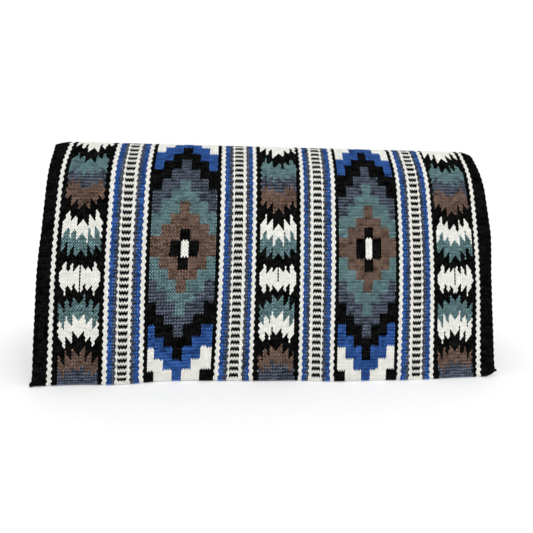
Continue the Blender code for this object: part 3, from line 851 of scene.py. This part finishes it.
def twined_cord(name, side):
    """Two tubes along the hem: their centres circle the cord's line half a turn apart."""
    along = np.arange(0, LAST_WARP + 0.5 / STRAND_STEPS, 1 / STRAND_STEPS)
    spin = np.linspace(0, 2 * math.pi, STRAND_SIDES, endpoint=False)
    ends = sum(edge_offset(along, 0 * along + LAST_PICK, edge) for edge in (0, LAST_WARP))
    place = (warp_place(along) + ends)[:, None] + 0 * spin
    run, turn = np.meshgrid(along / LAST_WARP, np.arange(STRAND_SIDES + 1) / STRAND_SIDES, indexing="ij")
    run, turn = grid_quads(run), grid_quads(turn)
    column = np.floor(run.mean(axis=1, keepdims=True) * CORD_COLUMNS)
    points, parts, map_parts = [], [], []
    for strand in (0, 1):
        phase = 2 * math.pi * along / CORD_TWIST_WARPS + math.pi * strand
        lower = STRAND_SWING * np.sin(phase)[:, None] + STRAND_RADIUS * np.sin(spin)
        deeper = STRAND_SWING * np.cos(phase)[:, None] + STRAND_RADIUS * np.cos(spin)
        points.append(cloth_point(place, side * (CORD_LINE + lower), CORD_DEPTH + deeper).reshape(-1, 3))
        index = strand * place.size + np.arange(place.size).reshape(place.shape)
        tube = grid_quads(np.concatenate([index, index[:, :1]], axis=1))
        tube_at = np.stack([(CORD_COLUMNS * strand + column + MAP_GUTTER + (1 - 2 * MAP_GUTTER) * turn)
                            / (2 * CORD_COLUMNS), CORD_TUBE_TOP * (run * CORD_COLUMNS - column)], axis=-1)
        parts.append(tube[:, ::-1] if side < 0 else tube)
        map_parts.append(tube_at[:, ::-1] if side < 0 else tube_at)
        for end in (0, -1):
            fan = np.stack([np.full(STRAND_SIDES - 2, 0), np.arange(1, STRAND_SIDES - 1),
                            np.arange(2, STRAND_SIDES)], axis=1)
            fan = fan if (end == 0) == (side < 0) else fan[:, ::-1]
            parts.append(index[end][fan])
            cap_middle = ((2 * strand - end + 1) / (CORD_CAPS + 1), (1 + CORD_TUBE_TOP) / 2)
            circle = np.stack([np.cos(spin), np.sin(spin)], axis=-1)
            map_parts.append(cap_middle + CORD_CAP_RADIUS * circle[fan])
    corners = np.concatenate([part.reshape(-1) for part in parts])
    map_at = np.concatenate([part.reshape(-1, 2) for part in map_parts])
    warp = np.round(np.tile(np.repeat(along, STRAND_SIDES), 2)[corners])
    yarn = np.full(len(corners), BLACK)
    for first, last, yarn_of in BANDS:
        inside = (warp >= first) & (warp <= last)
        yarn[inside] = yarn_of(warp[inside], 0 * warp[inside] + LAST_PICK)
    colors = bead_color(warp, 0 * warp + side * LAST_PICK, yarn, 0 * warp, np.full(len(corners), CORD_LIGHT))
    return add_mesh(name, np.concatenate(points), parts, colors, map_at, WOOL_CORD)


for word, side in (("front", -1), ("back", 1)):
    cord = twined_cord(f"twined_cord_{word}", side)
    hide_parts(f"hem_cord_{word}")

# The four corner knots: the hem cord's ends, tied off hard against the corner. A small lumpy ball
# whose radius swells along three slanting turns of black yarn.
KNOT_SEGMENTS = 36
KNOT_RINGS = 20
KNOT_TURNS = 3
KNOT_SLANT = 2.5
KNOT_SWELL = 0.13
KNOT_OVERLAP = 0.0045
KNOT_TUCK = 0.0022
WOOL_KNOT = wool("knot_wool")


def tied_knot(name, low, high, hand, side):
    """A ball that fills the box from low to high. Its radius swells by the sine of three slanting turns,
    fading toward the poles with the cosine of the rise. Rings of quads end in a fan at each pole."""
    spin, rise = np.meshgrid(np.linspace(0, 2 * math.pi, KNOT_SEGMENTS, endpoint=False),
                             np.linspace(-math.pi / 2, math.pi / 2, KNOT_RINGS)[1:-1])
    swell = 1 + KNOT_SWELL * np.sin(KNOT_TURNS * spin + KNOT_SLANT * rise) * np.cos(rise) - KNOT_SWELL
    ball = np.stack([np.cos(rise) * np.cos(spin), np.cos(rise) * np.sin(spin), np.sin(rise)], axis=-1)
    ball = np.concatenate([(ball * swell[..., None]).reshape(-1, 3),
                           (1 - KNOT_SWELL) * np.array([[0, 0, -1], [0, 0, 1]])])
    index = np.arange(spin.size).reshape(spin.shape)
    index = np.concatenate([index, index[:, :1]], axis=1)
    turn, up_share = np.meshgrid(np.arange(KNOT_SEGMENTS + 1) / KNOT_SEGMENTS,
                                 np.arange(1, KNOT_RINGS - 1) / (KNOT_RINGS - 1))
    ring_at = np.stack([turn, up_share], axis=-1)
    parts = [grid_quads(index)]
    map_parts = [np.stack([grid_quads(turn), grid_quads(up_share)], axis=-1)]
    for ring, pole, direction in ((0, spin.size, -1), (-1, spin.size + 1, 1)):
        fan = np.stack([np.full(KNOT_SEGMENTS, pole), index[ring, :-1], index[ring, 1:]], axis=1)
        tip = np.stack([turn[0, :-1] + 0.5 / KNOT_SEGMENTS, np.full(KNOT_SEGMENTS, max(direction, 0))],
                       axis=-1)
        fan_at = np.stack([tip, ring_at[ring, :-1], ring_at[ring, 1:]], axis=1)
        parts.append(fan[:, ::direction])
        map_parts.append(fan_at[:, ::direction])
    corner_count = sum(part.size for part in parts)
    warp = np.full(corner_count, float(LAST_WARP if hand > 0 else 0))
    colors = bead_color(warp, 0 * warp + side * LAST_PICK, np.full(corner_count, BLACK), 0 * warp,
                        0 * warp + 1)
    map_at = np.concatenate([part.reshape(-1, 2) for part in map_parts])
    return add_mesh(name, (low + high) / 2 + ball * (high - low) / 2, parts, colors, map_at, WOOL_KNOT)


for word, side in (("front", -1), ("back", 1)):
    for hand_word, hand in (("left", -1), ("right", 1)):
        low, high = (np.array(corner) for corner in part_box(f"corner_knot_{word}_{hand_word}"))
        # the ball reaches in over the corner from its node's box, and its outer end is drawn in
        (low if hand > 0 else high)[0] -= hand * KNOT_OVERLAP
        (high if hand > 0 else low)[0] -= hand * KNOT_TUCK
        knot = tied_knot(f"tied_corner_{word}_{hand_word}", low, high, hand, side)
        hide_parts(f"corner_knot_{word}_{hand_word}")
